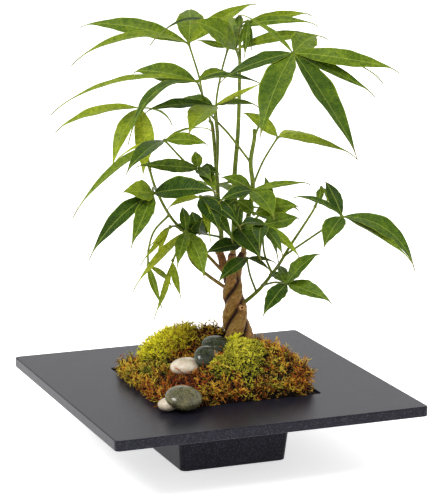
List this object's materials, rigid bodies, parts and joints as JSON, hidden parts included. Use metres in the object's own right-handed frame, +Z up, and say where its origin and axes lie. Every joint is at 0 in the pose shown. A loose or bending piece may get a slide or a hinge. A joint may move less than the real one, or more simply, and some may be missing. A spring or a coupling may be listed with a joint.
{
  "type": "potted plant",
  "caption": "Braided money tree with palm-shaped leaves in a low square planter with a wide flat rim, moss and river pebbles.",
  "frame": {"origin": "centre of the planter's foot, on the surface that it stands on", "axes": "+Z up, X and Y along the sides of the square planter; the picture looks from between -Y and -X, mostly along +Y"},
  "size_m": [0.2889, 0.2815, 0.3946],
  "materials": {
    "slate": "satin slate grey glaze",
    "soil": "rough dark potting soil",
    "moss_rust": "rust-brown curly moss",
    "moss_yellow": "yellow-green moss",
    "moss_lime": "fine lime-green moss",
    "stone_dark": "polished speckled dark green-grey pebble",
    "stone_pale": "smooth pale pebble",
    "bark": "tan bark with darker creases",
    "leaf": "satin green leaf with light veins"
  },
  "bodies": {
    "root": {"planter": "slate", "soil": "soil", "moss_rust": "moss_rust", "moss_yellow": "moss_yellow", "moss_lime": "moss_lime", "pebble_front": "stone_dark", "pebble_under": "stone_pale", "pebble_pale": "stone_pale", "pebble_dark": "stone_dark", "pebble_back": "stone_dark", "strand_left": "bark", "strand_middle": "bark", "strand_right": "bark", "shoot_left": "leaf", "shoot_middle": "leaf", "shoot_right": "leaf", "branch_left_high": "leaf", "branch_left_low": "leaf", "branch_right": "leaf"}
  },
  "joints": []
}
